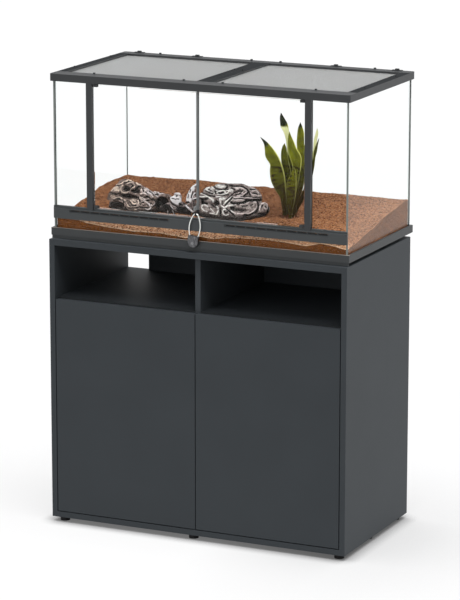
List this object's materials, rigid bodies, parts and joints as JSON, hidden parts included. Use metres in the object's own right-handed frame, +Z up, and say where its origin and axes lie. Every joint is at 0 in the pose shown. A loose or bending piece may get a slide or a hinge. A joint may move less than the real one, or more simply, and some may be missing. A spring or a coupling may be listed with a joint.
{
  "type": "terrarium on a base cabinet",
  "caption": "Front-opening glass terrarium with mesh covers, vent rail and padlock, on a dark base cabinet with open bays over inset doors.",
  "frame": {"origin": "centre of the cabinet's footprint on the floor, at the underside of the middle foot", "axes": "+X to the viewer's right, front towards -Y, +Z up"},
  "size_m": [1.01, 0.534, 1.444],
  "materials": {
    "board": "satin",
    "frame": "satin",
    "glass": "polished",
    "steel": "satin",
    "shackle_steel": "polished",
    "padlock_steel": "satin",
    "mesh": "satin",
    "foot": "matte",
    "rubber": "matte",
    "black_plastic": "matte",
    "white_plastic": "matte",
    "sand": "matte",
    "bark_stone": "matte",
    "driftwood": "matte",
    "leaf": "satin"
  },
  "bodies": {
    "housing": {"cabinet_base_board": "board", "cabinet_side_left": "board", "cabinet_side_right": "board", "cabinet_centre_partition": "board", "cabinet_shelf_left": "board", "cabinet_shelf_right": "board", "cabinet_top_board": "board", "rear_panels_upper": "board", "rear_panels_lower": "board", "cabinet_feet": "foot", "hinge_brackets": "steel", "hinge_pins": "steel", "hinge_screws": "steel", "push_latch_housings": "black_plastic", "support_pads": "rubber", "base_rail_front": "frame", "base_rail_rear": "frame", "base_rail_left": "frame", "base_rail_right": "frame", "floor_glass": "glass", "glass_rear": "glass", "glass_left": "glass", "glass_right": "glass", "glass_front_lower": "glass", "glass_front_left": "glass", "glass_front_right": "glass", "vent_rail": "frame", "vent_rail_caps": "frame", "door_post_left": "frame", "door_post_right": "frame", "top_rail_front": "frame", "top_rail_rear": "frame", "top_rail_left": "frame", "top_rail_right": "frame", "top_crossbar": "frame", "sand_bed": "sand", "stone_left": "bark_stone", "stone_right": "bark_stone", "driftwood": "driftwood", "plant": "leaf"},
    "cabinet_door_left_body": {"cabinet_door_left": "board"},
    "cabinet_door_right_body": {"cabinet_door_right": "board"},
    "glass_door_left_body": {"glass_door_left": "glass", "door_clamps_left": "frame", "edge_strip_left": "black_plastic"},
    "glass_door_right_body": {"glass_door_right": "glass", "door_clamps_right": "frame", "edge_strip_right": "black_plastic"},
    "padlock_shackle_body": {"padlock_shackle": "shackle_steel"},
    "padlock_case_body": {"padlock_case": "padlock_steel"},
    "push_latch_plunger_left_body": {"push_latch_plunger_left": "white_plastic"},
    "push_latch_plunger_right_body": {"push_latch_plunger_right": "white_plastic"},
    "mesh_cover_left_body": {"mesh_rim_left": "frame", "mesh_net_left": "mesh"},
    "mesh_cover_right_body": {"mesh_rim_right": "frame", "mesh_net_right": "mesh"},
    "cable_slide_1_body": {"cable_slide_1": "black_plastic"},
    "cable_slide_2_body": {"cable_slide_2": "black_plastic"},
    "cable_slide_3_body": {"cable_slide_3": "black_plastic"},
    "cable_slide_4_body": {"cable_slide_4": "black_plastic"}
  },
  "joints": [
    {"name": "cabinet_door_left_hinge", "type": "hinge", "parent": "housing", "child": "cabinet_door_left_body", "pos_m": [-0.476, -0.25, 0.381], "axis": [0, 0, -1], "range_deg": [0, 95]},
    {"name": "cabinet_door_right_hinge", "type": "hinge", "parent": "housing", "child": "cabinet_door_right_body", "pos_m": [0.476, -0.25, 0.381], "axis": [0, 0, 1], "range_deg": [0, 95]},
    {"name": "glass_door_left_hinge", "type": "hinge", "parent": "housing", "child": "glass_door_left_body", "pos_m": [-0.35, -0.2325, 1.223], "axis": [0, 0, -1], "range_deg": [0, 100]},
    {"name": "glass_door_right_hinge", "type": "hinge", "parent": "housing", "child": "glass_door_right_body", "pos_m": [0.35, -0.2325, 1.223], "axis": [0, 0, 1], "range_deg": [0, 100]},
    {"name": "padlock_swing", "type": "hinge", "parent": "glass_door_right_body", "child": "padlock_shackle_body", "pos_m": [0.002, -0.2495, 1.039], "axis": [-1, 0, 0], "range_deg": [0, 80]},
    {"name": "padlock_case_pull", "type": "slide", "parent": "padlock_shackle_body", "child": "padlock_case_body", "axis": [-0.1132, 0, -0.9936], "range_m": [0, 0.008]},
    {"name": "push_latch_left_press", "type": "slide", "parent": "housing", "child": "push_latch_plunger_left_body", "axis": [0, 1, 0], "range_m": [0, 0.0025], "stiffness_N_per_m": 400, "springref_m": -0.004},
    {"name": "push_latch_right_press", "type": "slide", "parent": "housing", "child": "push_latch_plunger_right_body", "axis": [0, 1, 0], "range_m": [0, 0.0025], "stiffness_N_per_m": 400, "springref_m": -0.004},
    {"name": "mesh_cover_left_lift", "type": "slide", "parent": "housing", "child": "mesh_cover_left_body", "axis": [0, 0, 1], "range_m": [0, 0.04]},
    {"name": "mesh_cover_right_lift", "type": "slide", "parent": "housing", "child": "mesh_cover_right_body", "axis": [0, 0, 1], "range_m": [0, 0.04]},
    {"name": "cable_slide_1_travel", "type": "slide", "parent": "housing", "child": "cable_slide_1_body", "axis": [1, 0, 0], "range_m": [0, 0.024]},
    {"name": "cable_slide_2_travel", "type": "slide", "parent": "housing", "child": "cable_slide_2_body", "axis": [1, 0, 0], "range_m": [0, 0.024]},
    {"name": "cable_slide_3_travel", "type": "slide", "parent": "housing", "child": "cable_slide_3_body", "axis": [1, 0, 0], "range_m": [0, 0.024]},
    {"name": "cable_slide_4_travel", "type": "slide", "parent": "housing", "child": "cable_slide_4_body", "axis": [1, 0, 0], "range_m": [0, 0.024]}
  ]
}
